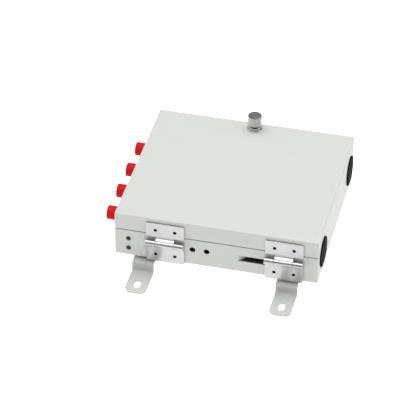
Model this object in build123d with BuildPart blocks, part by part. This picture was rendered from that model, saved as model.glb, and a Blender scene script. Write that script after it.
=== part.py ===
"""Wall-mount fibre termination box, modelled in millimetres.

Folded sheet case with a lid on two butt hinges, four FC ports on the left, two cable
entries on the right and a splice tray inside.  +Z is up (out of the wall), the hinges
face -Y, and the origin is on the mounting plane under the middle of the whole object.
"""
import os

from build123d import *

# ---- driving dimensions: the case ----------------------------------------------------
WIDTH, DEPTH, HEIGHT = 200.0, 177.2, 48.7   # outside of the closed case
SHEET = 1.2                                 # case sheet thickness
BEND_OUT, BEND_IN = 1.5, 0.3                # bend radii outside and inside
LID_CORNER = 1.0                            # corners of the lid's front flange
SEAM_HEIGHT, SEAM_GAP = 30.5, 1.0           # lid seam on the hinge side
LID_GAP = 0.8                               # between wall tops and the lid plate
CORNER_GAP = 0.3                            # behind the lid's front flange

# ---- feet ----------------------------------------------------------------------------
FOOT_SHEET, FOOT_DROP = 1.5, 12.2           # sheet, and case underside above the sole
FOOT_STANDOFF = 2.2                         # pressed bosses hold the feet off the case
BOSS_R, BOSS_DIMPLE_R = 4.8, 3.8
FOOT_WIDTH, FOOT_SPACING = 21.4, 142.0
FOOT_RISER, FOOT_REACH, FOOT_INSET = 6.1, 39.4, 22.0
FOOT_CORNER = 6.5
FOOT_BEND_HIGH, FOOT_BEND_LOW = 1.5, 2.6    # inside radii, above and below the riser
FOOT_SLOT_WIDTH, FOOT_SLOT_LENGTH, FOOT_SLOT_OUT = 6.4, 11.6, 27.0
RIVET_R, RIVET_HEAD_R, RIVET_HEAD, RIVET_TAPER = 1.5, 2.8, 1.0, 30.0
RIVET_OFFSET, RIVET_INSET = 5.5, 7.0

# ---- hinges --------------------------------------------------------------------------
HINGE_WIDTH, LEAF = 37.4, 1.5
HINGE_OFFSETS = {"left": -49.8, "right": 67.0}
HINGE_HEIGHT, LEAF_REACH = 21.8, 22.6       # pin height, and each leaf's reach from the pin
PIN_OUT, KNUCKLE_R, PIN_R = 3.7, 3.4, 1.6
PIN_FIT = 0.08                              # running clearance in the lid's knuckle
KNUCKLE_SPLIT, KNUCKLE_GAP = 18.0, 0.3      # middle knuckle, and the slit beside it
LID_NOTCH, BASE_NOTCH = 7.0, 4.6            # leaf edge to pin, beside the other's knuckles
TAB_RISE = 4.7                              # where the lid leaf's tab slopes out to its knuckle
LEAF_CORNER = 0.8
HINGE_SCREW_X, HINGE_SCREW_Z = 9.5, 14.4
HINGE_SCREW_R, HINGE_SCREW_HEAD_R, HINGE_SCREW_SUNK = 1.0, 1.9, 0.3
HINGE_NUT_FLATS, HINGE_NUT = 4.0, 1.6

# ---- front wall details --------------------------------------------------------------
TIE_HOLE_R, TIE_HOLE_X, TIE_HOLE_SPACING, TIE_HOLE_HEIGHT = 3.0, -16.1, 14.0, 18.2
WALL_SLOT_LENGTH, WALL_SLOT, WALL_SLOT_LEFT, WALL_SLOT_HEIGHT = 40.0, 6.8, 20.6, 16.4
TAB_BEND, TAB_ANGLE, TAB_LENGTH, TAB_GAP = 2.0, 40.0, 6.5, 0.5  # tab pushed in at the slot's end
PANEL_SCREW_X, PANEL_SCREW_HEIGHTS = 13.4, (9.1, 20.5)
PANEL_SCREW_R, PANEL_SCREW_HEAD_R, PANEL_SCREW_HEAD = 1.25, 2.3, 1.2

# ---- FC ports ------------------------------------------------------------------------
PORT_PITCH, PORT_COUNT, PORT_HEIGHT = 36.0, 4, 21.3
PORT_REACH = 16.6                           # how far a capped port stands off the case
THREAD_R, BARREL_R, FLANGE_R, FLANGE = 4.0, 4.75, 6.0, 1.6
PORT_OUT, PORT_IN = 10.0, 15.2              # adapter ends, outside and inside
CAVITY_R, HOLDER_R, SLEEVE_R, FERRULE_R = 3.1, 2.1, 1.6, 1.26
BARREL_FLAT = 4.3
CAP_R, CAP_BORE_R, CAP_GAP = 6.9, 4.3, 0.4
INNER_CAP_R = 5.4
PANEL_HOLE_FIT = 0.15                       # clearance of the panel's D-shaped holes

# ---- cable entries -------------------------------------------------------------------
GROMMET_SPACING, GROMMET_HEIGHT = 133.0, 22.7
GROMMET_R, GROMMET_PROUD, GROMMET_HOLE_R = 15.2, 1.4, 12.0

# ---- thumbscrew ----------------------------------------------------------------------
SCREW_INSET = 9.4                           # from the case's back face
HEAD_R, HEAD, HEAD_LIFT = 7.0, 9.8, 6.0     # knurled head, and its underside above the lid
NECK_R, NECK_LIFT = 4.3, 3.9
SHANK_R, SHANK_DROP = 2.0, 6.7              # M4, with its tip this far under the lid's top
FERRULE_BASE_R, FERRULE_BASE, FERRULE_BODY_R, FERRULE_TOP = 7.7, 1.2, 6.3, 3.2
FERRULE_SLEEVE_R = 3.2
RETAINER_DROP, RETAINER = 2.1, 0.8
HEAD_BEVEL, KNURL_COUNT, KNURL_DEPTH = 0.35, 36, 0.35

# ---- splice tray ---------------------------------------------------------------------
TRAY_X, TRAY_Y, TRAY_LENGTH, TRAY_WIDTH = 6.0, -6.0, 104.0, 84.0
TRAY_HEIGHT, TRAY_WALL, TRAY_CORNER, TRAY_LIFT = 9.0, 1.6, 14.0, 5.0
TRAY_STUD_X = 45.0
SPOOL_X, SPOOL_R = 26.0, 13.0

# ---- places worked out from the above ------------------------------------------------
CENTRE_X = (PORT_REACH - GROMMET_PROUD) / 2
LEFT, RIGHT = CENTRE_X - WIDTH / 2, CENTRE_X + WIDTH / 2
FRONT, BACK = -DEPTH / 2, DEPTH / 2
UNDERSIDE = FOOT_DROP + FOOT_SHEET
FLOOR = UNDERSIDE + SHEET
FOOT_SEAT = UNDERSIDE - FOOT_STANDOFF       # top face of the feet's riveted flanges
TOP = UNDERSIDE + HEIGHT
LID_UNDER = TOP - SHEET
WALL_TOP = LID_UNDER - LID_GAP
SEAM_LOW = UNDERSIDE + SEAM_HEIGHT - SEAM_GAP / 2
SEAM_HIGH = SEAM_LOW + SEAM_GAP
PIN_Y, PIN_Z = FRONT - PIN_OUT, UNDERSIDE + HINGE_HEIGHT
PORT_Z = UNDERSIDE + PORT_HEIGHT
PORT_YS = [PORT_PITCH * (i - (PORT_COUNT - 1) / 2) for i in range(PORT_COUNT)]
GROMMET_YS = {"front": -GROMMET_SPACING / 2, "rear": GROMMET_SPACING / 2}
GROMMET_Z = UNDERSIDE + GROMMET_HEIGHT
SCREW_Y = BACK - SCREW_INSET
HINGE_XS = {side: CENTRE_X + offset for side, offset in HINGE_OFFSETS.items()}
HINGE_SCREW_XS = [x + side for x in HINGE_XS.values() for side in (-HINGE_SCREW_X, HINGE_SCREW_X)]
PANEL_SCREW_ZS = [UNDERSIDE + height for height in PANEL_SCREW_HEIGHTS]
PANEL_SCREWS = [(LEFT + PANEL_SCREW_X, z) for z in PANEL_SCREW_ZS]
SLOT_LEFT, SLOT_Z = CENTRE_X + WALL_SLOT_LEFT, UNDERSIDE + WALL_SLOT_HEIGHT
SLOT_RIGHT = SLOT_LEFT + WALL_SLOT_LENGTH
FOOT_XS = {"left": CENTRE_X - FOOT_SPACING / 2, "right": CENTRE_X + FOOT_SPACING / 2}
RIVETS = [(x + side, end * (BACK - RIVET_INSET))
          for x in FOOT_XS.values() for side in (-RIVET_OFFSET, RIVET_OFFSET) for end in (-1, 1)]

FRONT_FACE = Plane.XZ.offset(-FRONT)        # sketch x is X, sketch y is Z, normal -Y
BACK_FACE = Plane.XZ.offset(-BACK)
LEFT_FACE = Plane.YZ.offset(LEFT)           # sketch x is Y, sketch y is Z, normal +X
RIGHT_FACE = Plane.YZ.offset(RIGHT)


def level(z):
    """Horizontal sketch plane at height z."""
    return Plane.XY.offset(z)


def span(low, high):
    """Middle and length of the stretch from low to high."""
    return (low + high) / 2, high - low


def rectangle(x_low, x_high, y_low, y_high):
    """Rectangle in the current sketch, given by its sides."""
    x, width = span(x_low, x_high)
    y, height = span(y_low, y_high)
    with Locations((x, y)):
        Rectangle(width, height)


def circles(points, radius):
    """One circle in the current sketch at each point."""
    with Locations(*points):
        Circle(radius)


def outline(points):
    """Closed straight-sided outline in the current sketch."""
    Polygon(*points, align=None)


def axial_plane(origin, direction, up):
    """Sketch plane whose x runs along a turned part's axis and whose y is its radius."""
    return Plane(origin=origin, x_dir=direction, z_dir=Vector(*direction).cross(Vector(*up)))


def turned(plane, points):
    """Solid of revolution of an (along, radius) outline about the plane's x axis."""
    with BuildSketch(plane) as profile:
        outline(points)
    revolve(profile.sketch, axis=Axis(plane.origin, plane.x_dir))


def save(builder, name):
    """Label one finished piece and write its STEP file."""
    builder.part.label = name
    export_step(builder.part, f"parts/{name}.step")


os.makedirs("parts", exist_ok=True)

# ======================================================================================
# Case
# ======================================================================================
with BuildPart() as base_tray:
    with BuildSketch(level(UNDERSIDE)):
        rectangle(LEFT, RIGHT, FRONT, BACK)
    extrude(amount=WALL_TOP - UNDERSIDE)
    bends = base_tray.edges().group_by(Axis.Z)[0].sort_by(Axis.X)[1:]
    corners = base_tray.edges().filter_by(Axis.Z).group_by(Axis.X)[-1]
    fillet(bends + corners, BEND_OUT)
    with BuildSketch(level(FLOOR)):
        rectangle(LEFT - SHEET, RIGHT - SHEET, FRONT + SHEET, BACK - SHEET)
    extrude(amount=HEIGHT, mode=Mode.SUBTRACT)
    # the hinge side stops at the seam, where the lid's flange takes over
    with BuildSketch(FRONT_FACE):
        rectangle(LEFT - SHEET, RIGHT + SHEET, SEAM_LOW, TOP)
    extrude(amount=-SHEET - CORNER_GAP, mode=Mode.SUBTRACT)
    # front wall: fastener holes, two tie holes and the tie slot
    with BuildSketch(FRONT_FACE):
        circles([(x, PIN_Z - HINGE_SCREW_Z) for x in HINGE_SCREW_XS], HINGE_SCREW_R)
        circles(PANEL_SCREWS, PANEL_SCREW_R)
        tie_x = CENTRE_X + TIE_HOLE_X
        tie_xs = (tie_x - TIE_HOLE_SPACING / 2, tie_x + TIE_HOLE_SPACING / 2)
        circles([(x, UNDERSIDE + TIE_HOLE_HEIGHT) for x in tie_xs], TIE_HOLE_R)
        with Locations(((SLOT_LEFT + SLOT_RIGHT) / 2, SLOT_Z)):
            SlotOverall(SLOT_RIGHT - SLOT_LEFT, WALL_SLOT)
        rectangle(SLOT_LEFT, SLOT_LEFT + WALL_SLOT, SLOT_Z - WALL_SLOT / 2, SLOT_Z + WALL_SLOT / 2)
    extrude(amount=-SHEET, mode=Mode.SUBTRACT)
    # the tab that was cut free on three sides and pushed in to make the slot
    with BuildSketch(level(SLOT_Z - WALL_SLOT / 2 + TAB_GAP)) as tab:
        with BuildLine():
            outer = CenterArc((SLOT_LEFT, FRONT + SHEET + TAB_BEND), TAB_BEND + SHEET, -90, TAB_ANGLE)
            outer_side = PolarLine(outer @ 1, TAB_LENGTH, TAB_ANGLE)
            end = PolarLine(outer_side @ 1, SHEET, TAB_ANGLE + 90)
            inner_side = PolarLine(end @ 1, TAB_LENGTH, TAB_ANGLE + 180)
            CenterArc((SLOT_LEFT, FRONT + SHEET + TAB_BEND), TAB_BEND, -90, TAB_ANGLE)
            Line(outer @ 0, (SLOT_LEFT, FRONT + SHEET))
        make_face()
    extrude(amount=WALL_SLOT - 2 * TAB_GAP)
    with BuildSketch(BACK_FACE):
        circles(PANEL_SCREWS, PANEL_SCREW_R)
    extrude(amount=SHEET, mode=Mode.SUBTRACT)
    with BuildSketch(RIGHT_FACE):
        circles([(y, GROMMET_Z) for y in GROMMET_YS.values()], GROMMET_HOLE_R)
    extrude(amount=-SHEET, mode=Mode.SUBTRACT)
    # pressed bosses under the floor, dimpled on the inside, that the feet are riveted to
    with BuildSketch(level(FOOT_SEAT)):
        circles(RIVETS, BOSS_R)
    extrude(amount=FOOT_STANDOFF)
    with BuildSketch(level(FOOT_SEAT + SHEET)):
        circles(RIVETS, BOSS_DIMPLE_R)
    extrude(amount=FOOT_STANDOFF, mode=Mode.SUBTRACT)
    with BuildSketch(level(FOOT_SEAT)):
        circles(RIVETS, RIVET_R)
    extrude(amount=SHEET, mode=Mode.SUBTRACT)
save(base_tray, "base_tray")

PANEL_FLANGE = 22.0
PANEL_FLANGE_TOP = SEAM_LOW - 2.0
PANEL_HOLE_R = BARREL_R + PANEL_HOLE_FIT
with BuildPart() as adapter_panel:
    with BuildSketch(LEFT_FACE):
        rectangle(FRONT + SHEET + CORNER_GAP, BACK - SHEET, FLOOR, WALL_TOP)
    extrude(amount=SHEET)
    for face_y, inward in ((FRONT + SHEET, -1), (BACK - SHEET, 1)):
        with BuildSketch(Plane.XZ.offset(-face_y)):
            rectangle(LEFT, LEFT + PANEL_FLANGE, FLOOR, PANEL_FLANGE_TOP)
        extrude(amount=inward * SHEET)
        with BuildSketch(Plane.XZ.offset(-face_y)):
            circles(PANEL_SCREWS, PANEL_SCREW_R)
        extrude(amount=inward * SHEET, mode=Mode.SUBTRACT)
    # D-shaped port holes, flat side up
    with BuildSketch(LEFT_FACE):
        circles([(y, PORT_Z) for y in PORT_YS], PANEL_HOLE_R)
        flat_z = PORT_Z + BARREL_FLAT + PANEL_HOLE_FIT
        with Locations(*[(y, flat_z + PANEL_HOLE_R / 2) for y in PORT_YS]):
            Rectangle(2 * PANEL_HOLE_R, PANEL_HOLE_R, mode=Mode.SUBTRACT)
    extrude(amount=SHEET, mode=Mode.SUBTRACT)
save(adapter_panel, "adapter_panel")

with BuildPart() as lid:
    with BuildSketch(Plane.YZ.offset(LEFT)):
        outline([(FRONT, SEAM_HIGH), (FRONT, TOP), (BACK, TOP), (BACK, LID_UNDER),
                 (FRONT + SHEET, LID_UNDER), (FRONT + SHEET, SEAM_HIGH)])
    extrude(amount=WIDTH)
    front_bend = lid.edges().filter_by(Axis.X)
    fillet(front_bend.group_by(Axis.Z)[-1].sort_by(Axis.Y)[0], BEND_OUT)
    fillet(front_bend.group_by(Axis.Z)[-2].sort_by(Axis.Y)[0], BEND_IN)
    fillet(lid.edges().filter_by(Axis.Z).group_by(Axis.Y)[-1], BEND_OUT)
    fillet(lid.edges().filter_by(Axis.Y).group_by(Axis.Z)[0], LID_CORNER)
    with BuildSketch(FRONT_FACE):
        circles([(x, PIN_Z + HINGE_SCREW_Z) for x in HINGE_SCREW_XS], HINGE_SCREW_R)
    extrude(amount=-SHEET, mode=Mode.SUBTRACT)
    with BuildSketch(level(TOP)):
        circles([(CENTRE_X, SCREW_Y)], FERRULE_SLEEVE_R)
    extrude(amount=-SHEET, mode=Mode.SUBTRACT)
save(lid, "lid")

# ======================================================================================
# Hinges
# ======================================================================================
HALF_HINGE, HALF_SPLIT = HINGE_WIDTH / 2, KNUCKLE_SPLIT / 2
PIN_CHAMFER = 0.25
KNUCKLE_CLEAR = PIN_OUT - KNUCKLE_R         # the knuckles stand this far off the case


def knuckle(x_low, x_high, bore):
    """Ring about the pin from x_low to x_high, with its bore cut."""
    for radius, mode in ((KNUCKLE_R, Mode.ADD), (bore, Mode.SUBTRACT)):
        with BuildSketch(Plane.YZ.offset(x_low)) as disc:
            circles([(PIN_Y, PIN_Z)], radius)
        extrude(disc.sketch, amount=x_high - x_low, mode=mode)


def countersinks(x, z):
    """Two countersunk holes in a leaf's outer face."""
    for side in (-HINGE_SCREW_X, HINGE_SCREW_X):
        spot = Plane(origin=(x + side, FRONT - LEAF, z), x_dir=(1, 0, 0), z_dir=(0, -1, 0))
        with Locations(spot):
            CounterSinkHole(HINGE_SCREW_R, HINGE_SCREW_HEAD_R, depth=LEAF)


for side_name, hinge_x in HINGE_XS.items():
    low, high = hinge_x - HALF_HINGE, hinge_x + HALF_HINGE
    mid_low, mid_high = hinge_x - HALF_SPLIT, hinge_x + HALF_SPLIT

    with BuildPart() as lid_leaf:
        with BuildSketch(FRONT_FACE):
            rectangle(low, high, PIN_Z + LID_NOTCH, PIN_Z + LEAF_REACH)
        extrude(amount=LEAF)
        fillet(lid_leaf.edges().filter_by(Axis.Y).group_by(Axis.Z)[-1], LEAF_CORNER)
        with BuildSketch(Plane.XZ.offset(-FRONT + KNUCKLE_CLEAR)):
            rectangle(mid_low, mid_high, PIN_Z, PIN_Z + LID_NOTCH)
        extrude(amount=LEAF - KNUCKLE_CLEAR)
        with BuildSketch(Plane.YZ.offset(mid_low)):
            outline([(PIN_Y, PIN_Z + KNUCKLE_R), (FRONT - LEAF, PIN_Z + TAB_RISE),
                     (FRONT - LEAF, PIN_Z + PIN_R), (PIN_Y, PIN_Z + PIN_R)])
        extrude(amount=KNUCKLE_SPLIT)
        knuckle(mid_low, mid_high, PIN_R + PIN_FIT)
        countersinks(hinge_x, PIN_Z + HINGE_SCREW_Z)
    save(lid_leaf, f"{side_name}_hinge_lid_leaf")

    with BuildPart() as base_leaf:
        with BuildSketch(FRONT_FACE):
            rectangle(low, high, PIN_Z - LEAF_REACH, PIN_Z)
        extrude(amount=LEAF)
        fillet(base_leaf.edges().filter_by(Axis.Y).group_by(Axis.Z)[0], LEAF_CORNER)
        for x_low, x_high in ((low, mid_low - KNUCKLE_GAP), (mid_high + KNUCKLE_GAP, high)):
            knuckle(x_low, x_high, PIN_R)
        with BuildSketch(FRONT_FACE):
            rectangle(mid_low - KNUCKLE_GAP, mid_high + KNUCKLE_GAP, PIN_Z - BASE_NOTCH, PIN_Z)
        extrude(amount=LEAF, mode=Mode.SUBTRACT)
        countersinks(hinge_x, PIN_Z - HINGE_SCREW_Z)
    save(base_leaf, f"{side_name}_hinge_base_leaf")

    with BuildPart() as hinge_pin:
        with BuildSketch(Plane.YZ.offset(low - KNUCKLE_GAP)):
            circles([(PIN_Y, PIN_Z)], PIN_R)
        extrude(amount=HINGE_WIDTH + 2 * KNUCKLE_GAP)
        chamfer(hinge_pin.edges().filter_by(GeomType.CIRCLE), PIN_CHAMFER)
    save(hinge_pin, f"{side_name}_hinge_pin")

NUT_FACE = FRONT + SHEET                    # nuts bear on the inside of the front wall
LEAF_FACE = FRONT - LEAF
SCREW_LENGTH = NUT_FACE + HINGE_NUT + 0.6 - LEAF_FACE
HINGE_CROSS, HINGE_CROSS_WIDTH, HINGE_CROSS_DEPTH = 1.8, 0.45, 0.8


def cross(points, length, width, angle):
    """Cross-shaped driver recess in the current sketch at each point."""
    with Locations(*points):
        Rectangle(length, width, rotation=angle)
        Rectangle(width, length, rotation=angle)


for set_name, screw_z in (("lid", PIN_Z + HINGE_SCREW_Z), ("base", PIN_Z - HINGE_SCREW_Z)):
    with BuildPart() as hinge_screws:
        for x in HINGE_SCREW_XS:
            turned(axial_plane((x, LEAF_FACE, screw_z), (0, 1, 0), (0, 0, 1)), [
                (HINGE_SCREW_SUNK, 0), (HINGE_SCREW_SUNK, HINGE_SCREW_HEAD_R - HINGE_SCREW_SUNK),
                (HINGE_SCREW_HEAD_R - HINGE_SCREW_R, HINGE_SCREW_R), (SCREW_LENGTH, HINGE_SCREW_R),
                (SCREW_LENGTH, 0)])
        with BuildSketch(Plane.XZ.offset(-LEAF_FACE)):
            cross([(x, screw_z) for x in HINGE_SCREW_XS], HINGE_CROSS, HINGE_CROSS_WIDTH, 20)
        extrude(amount=-HINGE_CROSS_DEPTH, mode=Mode.SUBTRACT)
    save(hinge_screws, f"hinge_{set_name}_screws")

    with BuildPart() as hinge_nuts:
        with BuildSketch(Plane.XZ.offset(-NUT_FACE)):
            with Locations(*[(x, screw_z) for x in HINGE_SCREW_XS]):
                RegularPolygon(HINGE_NUT_FLATS / 2, 6, major_radius=False)
                Circle(HINGE_SCREW_R, mode=Mode.SUBTRACT)
        extrude(amount=-HINGE_NUT)
    save(hinge_nuts, f"hinge_{set_name}_nuts")

# ======================================================================================
# Adapter panel fasteners, front and back
# ======================================================================================
PANEL_NUT, PANEL_NUT_R = 1.8, 2.6
PANEL_SCREW_LENGTH = 2 * SHEET + PANEL_NUT + 0.5
HEAD_SIDE, HEAD_SAG = 0.5, 0.3              # straight side under a pan head's dome
PANEL_CROSS, PANEL_CROSS_WIDTH, PANEL_CROSS_DEPTH = 2.2, 0.55, 0.8
with BuildPart() as panel_screws:
    for wall_y, inward in ((FRONT, 1), (BACK, -1)):
        for x, z in PANEL_SCREWS:
            head_plane = axial_plane((x, wall_y, z), (0, inward, 0), (0, 0, 1))
            with BuildSketch(head_plane):
                with BuildLine():
                    Polyline((0, PANEL_SCREW_R), (PANEL_SCREW_LENGTH, PANEL_SCREW_R),
                             (PANEL_SCREW_LENGTH, 0), (-PANEL_SCREW_HEAD, 0))
                    SagittaArc((-PANEL_SCREW_HEAD, 0), (-HEAD_SIDE, PANEL_SCREW_HEAD_R), HEAD_SAG)
                    Polyline((-HEAD_SIDE, PANEL_SCREW_HEAD_R), (0, PANEL_SCREW_HEAD_R), (0, PANEL_SCREW_R))
                make_face()
            revolve(axis=Axis(head_plane.origin, head_plane.x_dir))
        with BuildSketch(Plane.XZ.offset(-wall_y + inward * PANEL_SCREW_HEAD)):
            cross(PANEL_SCREWS, PANEL_CROSS, PANEL_CROSS_WIDTH, 30)
        extrude(amount=-inward * PANEL_CROSS_DEPTH, mode=Mode.SUBTRACT)
save(panel_screws, "panel_screws")

with BuildPart() as panel_nuts:
    for flange_y, inward in ((FRONT + 2 * SHEET, -1), (BACK - 2 * SHEET, 1)):
        with BuildSketch(Plane.XZ.offset(-flange_y)):
            circles(PANEL_SCREWS, PANEL_NUT_R)
            with Locations(*PANEL_SCREWS):
                Circle(PANEL_SCREW_R, mode=Mode.SUBTRACT)
        extrude(amount=inward * PANEL_NUT)
save(panel_nuts, "panel_nuts")

# ======================================================================================
# Feet
# ======================================================================================
for end_name, end in (("front", -1), ("rear", 1)):
    wall = end * BACK
    for side_name, foot_x in FOOT_XS.items():
        with BuildPart() as foot:
            inner = FOOT_RISER - FOOT_SHEET
            with BuildSketch(Plane.YZ.offset(foot_x - FOOT_WIDTH / 2)):
                outline([(wall - end * FOOT_INSET, FOOT_SEAT), (wall + end * FOOT_RISER, FOOT_SEAT),
                         (wall + end * FOOT_RISER, FOOT_SHEET), (wall + end * FOOT_REACH, FOOT_SHEET),
                         (wall + end * FOOT_REACH, 0), (wall + end * inner, 0),
                         (wall + end * inner, FOOT_SEAT - FOOT_SHEET),
                         (wall - end * FOOT_INSET, FOOT_SEAT - FOOT_SHEET)])
            extrude(amount=FOOT_WIDTH)
            along = foot.edges().filter_by(Axis.X).sort_by(Axis.Y, reverse=end < 0)
            riser_back = along[2:4].sort_by(Axis.Z)     # after the two edges of the riveted flange
            riser_front = along[4:6].sort_by(Axis.Z)
            fillet(riser_front[-1], FOOT_BEND_HIGH + FOOT_SHEET)
            fillet(riser_back[-1], FOOT_BEND_HIGH)
            fillet(riser_front[0], FOOT_BEND_LOW)
            fillet(riser_back[0], FOOT_BEND_LOW + FOOT_SHEET)
            tip = foot.edges().filter_by(Axis.Z).sort_by(Axis.Y)
            fillet(tip[-2:] if end > 0 else tip[:2], FOOT_CORNER)
            with BuildSketch(Plane.XY):
                with Locations((foot_x, wall + end * FOOT_SLOT_OUT)):
                    SlotOverall(FOOT_SLOT_LENGTH, FOOT_SLOT_WIDTH, rotation=90)
            extrude(amount=FOOT_SHEET, mode=Mode.SUBTRACT)
            with BuildSketch(level(FOOT_SEAT - FOOT_SHEET)):
                circles([(foot_x + side, end * (BACK - RIVET_INSET))
                         for side in (-RIVET_OFFSET, RIVET_OFFSET)], RIVET_R)
            extrude(amount=FOOT_SHEET, mode=Mode.SUBTRACT)
        save(foot, f"{end_name}_{side_name}_foot")

with BuildPart() as foot_rivets:
    with BuildSketch(level(FOOT_SEAT - FOOT_SHEET)):
        circles(RIVETS, RIVET_R)
    extrude(amount=FOOT_SHEET + SHEET)
    with BuildSketch(level(FOOT_SEAT + SHEET)):
        circles(RIVETS, RIVET_HEAD_R)
    extrude(amount=RIVET_HEAD, taper=RIVET_TAPER)
    with BuildSketch(level(FOOT_SEAT - FOOT_SHEET)):
        circles(RIVETS, RIVET_HEAD_R)
    extrude(amount=-RIVET_HEAD, taper=RIVET_TAPER)
save(foot_rivets, "foot_rivets")

# ======================================================================================
# FC ports: adapters, sleeves, washers, nuts and dust caps
# ======================================================================================
HOLDER_OUT, CAVITY_OUT = PORT_OUT - 1.0, 3.8
HOLDER_IN, CAVITY_IN, NUT_THREAD_IN = PORT_IN - 1.0, 9.0, 7.0
KEY_WIDTH, KEY_DEPTH = 2.1, 3.4
SLEEVE_END = 5.7
WASHER_R, WASHER = 6.6, 0.5
PORT_NUT_FLATS, PORT_NUT = 12.7, 2.4
NUT_BORE_R = BARREL_R + 0.05
SLEEVE_SLIT, KEY_RAISE, INNER_CAP_AIR = 0.3, 0.3, 0.8
CAP_BORE_END, CAP_EDGE = PORT_OUT + 1.5, 1.0
INNER_CAP_START = NUT_THREAD_IN + CAP_GAP
INNER_CAP_END = PORT_IN + 2.4


def port_plane(y):
    """Plane on one port: sketch x runs outwards from the case's left face."""
    return axial_plane((LEFT, y, PORT_Z), (-1, 0, 0), (0, 0, 1))


for number, y in enumerate(PORT_YS, start=1):
    with BuildPart() as fc_adapter:
        turned(port_plane(y), [
            (PORT_OUT, CAVITY_R), (PORT_OUT, THREAD_R), (FLANGE, THREAD_R), (FLANGE, FLANGE_R),
            (0, FLANGE_R), (0, BARREL_R), (-NUT_THREAD_IN, BARREL_R), (-NUT_THREAD_IN, THREAD_R),
            (-PORT_IN, THREAD_R), (-PORT_IN, CAVITY_R), (-CAVITY_IN, CAVITY_R), (-CAVITY_IN, HOLDER_R),
            (-HOLDER_IN, HOLDER_R), (-HOLDER_IN, SLEEVE_R), (HOLDER_OUT, SLEEVE_R),
            (HOLDER_OUT, HOLDER_R), (CAVITY_OUT, HOLDER_R), (CAVITY_OUT, CAVITY_R)])
        # keyways at both mouths, and the flat that stops the barrel turning in its hole
        for x_low, x_high in ((LEFT - PORT_OUT, LEFT - PORT_OUT + KEY_DEPTH),
                              (LEFT + PORT_IN - KEY_DEPTH, LEFT + PORT_IN)):
            with BuildSketch(level(PORT_Z + HOLDER_R + KEY_RAISE)):
                rectangle(x_low, x_high, y - KEY_WIDTH / 2, y + KEY_WIDTH / 2)
            extrude(amount=THREAD_R, mode=Mode.SUBTRACT)
        with BuildSketch(level(PORT_Z + BARREL_FLAT)):
            rectangle(LEFT, LEFT + NUT_THREAD_IN, y - BARREL_R, y + BARREL_R)
        extrude(amount=BARREL_R, mode=Mode.SUBTRACT)
    save(fc_adapter, f"fc_adapter_{number}")

    with BuildPart() as outer_cap:
        turned(port_plane(y), [
            (FLANGE + CAP_GAP, CAP_BORE_R), (FLANGE + CAP_GAP, CAP_R), (PORT_REACH, CAP_R),
            (PORT_REACH, 0), (CAP_BORE_END, 0), (CAP_BORE_END, CAP_BORE_R)])
        rim = outer_cap.edges().filter_by(GeomType.CIRCLE).sort_by(Axis.X)[0]
        fillet(rim, CAP_EDGE)
    save(outer_cap, f"outer_dust_cap_{number}")

    with BuildPart() as inner_cap:
        turned(port_plane(y), [
            (-INNER_CAP_START, CAP_BORE_R), (-INNER_CAP_START, INNER_CAP_R),
            (-INNER_CAP_END, INNER_CAP_R), (-INNER_CAP_END, 0), (-PORT_IN - INNER_CAP_AIR, 0),
            (-PORT_IN - INNER_CAP_AIR, CAP_BORE_R)])
        rim = inner_cap.edges().filter_by(GeomType.CIRCLE).sort_by(Axis.X)[-1]
        fillet(rim, CAP_EDGE)
    save(inner_cap, f"inner_dust_cap_{number}")

PORT_CENTRES = [(y, PORT_Z) for y in PORT_YS]
SLEEVE_MID = LEFT + (HOLDER_IN - HOLDER_OUT) / 2
with BuildPart() as alignment_sleeves:
    with BuildSketch(Plane.YZ.offset(SLEEVE_MID - SLEEVE_END)):
        with Locations(*PORT_CENTRES):
            Circle(SLEEVE_R)
            Circle(FERRULE_R, mode=Mode.SUBTRACT)
            with Locations((0, -SLEEVE_R)):
                Rectangle(SLEEVE_SLIT, SLEEVE_R, mode=Mode.SUBTRACT)
    extrude(amount=2 * SLEEVE_END)
save(alignment_sleeves, "alignment_sleeves")

with BuildPart() as adapter_washers:
    with BuildSketch(Plane.YZ.offset(LEFT + SHEET)):
        with Locations(*PORT_CENTRES):
            Circle(WASHER_R)
            Circle(NUT_BORE_R, mode=Mode.SUBTRACT)
    extrude(amount=WASHER)
save(adapter_washers, "adapter_washers")

with BuildPart() as adapter_nuts:
    with BuildSketch(Plane.YZ.offset(LEFT + SHEET + WASHER)):
        with Locations(*PORT_CENTRES):
            RegularPolygon(PORT_NUT_FLATS / 2, 6, major_radius=False)
            Circle(NUT_BORE_R, mode=Mode.SUBTRACT)
    extrude(amount=PORT_NUT)
save(adapter_nuts, "adapter_nuts")

# ======================================================================================
# Cable entries
# ======================================================================================
GROMMET_BACK_R, GROMMET_BACK = 14.2, 3.2
RIM_WIDTH, MEMBRANE_OUT, MEMBRANE_IN = 4.0, -0.6, -1.5
LIP_BEVEL, FLANGE_BEVEL = 0.5, 0.6
for end_name, y in GROMMET_YS.items():
    with BuildPart() as grommet:
        mouth_r, back_mouth_r = GROMMET_R - RIM_WIDTH, GROMMET_BACK_R - RIM_WIDTH
        turned(axial_plane((RIGHT, y, GROMMET_Z), (1, 0, 0), (0, 0, 1)), [
            (MEMBRANE_IN, 0), (MEMBRANE_IN, back_mouth_r), (-GROMMET_BACK, back_mouth_r),
            (-GROMMET_BACK, GROMMET_BACK_R - FLANGE_BEVEL),
            (-GROMMET_BACK + FLANGE_BEVEL, GROMMET_BACK_R), (-SHEET, GROMMET_BACK_R),
            (-SHEET, GROMMET_HOLE_R), (0, GROMMET_HOLE_R), (0, GROMMET_R),
            (GROMMET_PROUD - LIP_BEVEL, GROMMET_R), (GROMMET_PROUD, GROMMET_R - LIP_BEVEL),
            (GROMMET_PROUD, mouth_r + LIP_BEVEL), (GROMMET_PROUD - LIP_BEVEL, mouth_r),
            (MEMBRANE_OUT, mouth_r), (MEMBRANE_OUT, 0)])
    save(grommet, f"{end_name}_cable_grommet")

# ======================================================================================
# Captive thumbscrew and what it screws into
# ======================================================================================
SCREW_AT = (CENTRE_X, SCREW_Y)


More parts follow.
